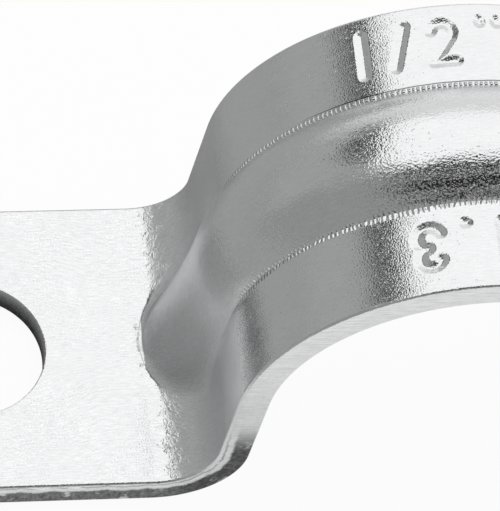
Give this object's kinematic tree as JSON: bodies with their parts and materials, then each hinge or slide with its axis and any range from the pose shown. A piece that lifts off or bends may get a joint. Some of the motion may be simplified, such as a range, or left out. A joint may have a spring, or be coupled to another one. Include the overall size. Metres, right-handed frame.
{
  "type": "conduit strap",
  "caption": "Stamped sheet-steel strap with an arched saddle, an embossed stiffening bead and a round-ended screw foot on each side, for fixing a conduit to a wall.",
  "frame": {"origin": "on the wall face, midway between the screw holes, under the middle of the saddle", "axes": "+X along the strap from foot to foot, +Y along the conduit, +Z away from the wall"},
  "size_m": [0.067, 0.0172, 0.023],
  "materials": {
    "zinc_plated_steel": "bright zinc plating over smooth stamped steel, sheared edges left as cut"
  },
  "bodies": {
    "root": {"strap": "zinc_plated_steel"}
  },
  "joints": []
}
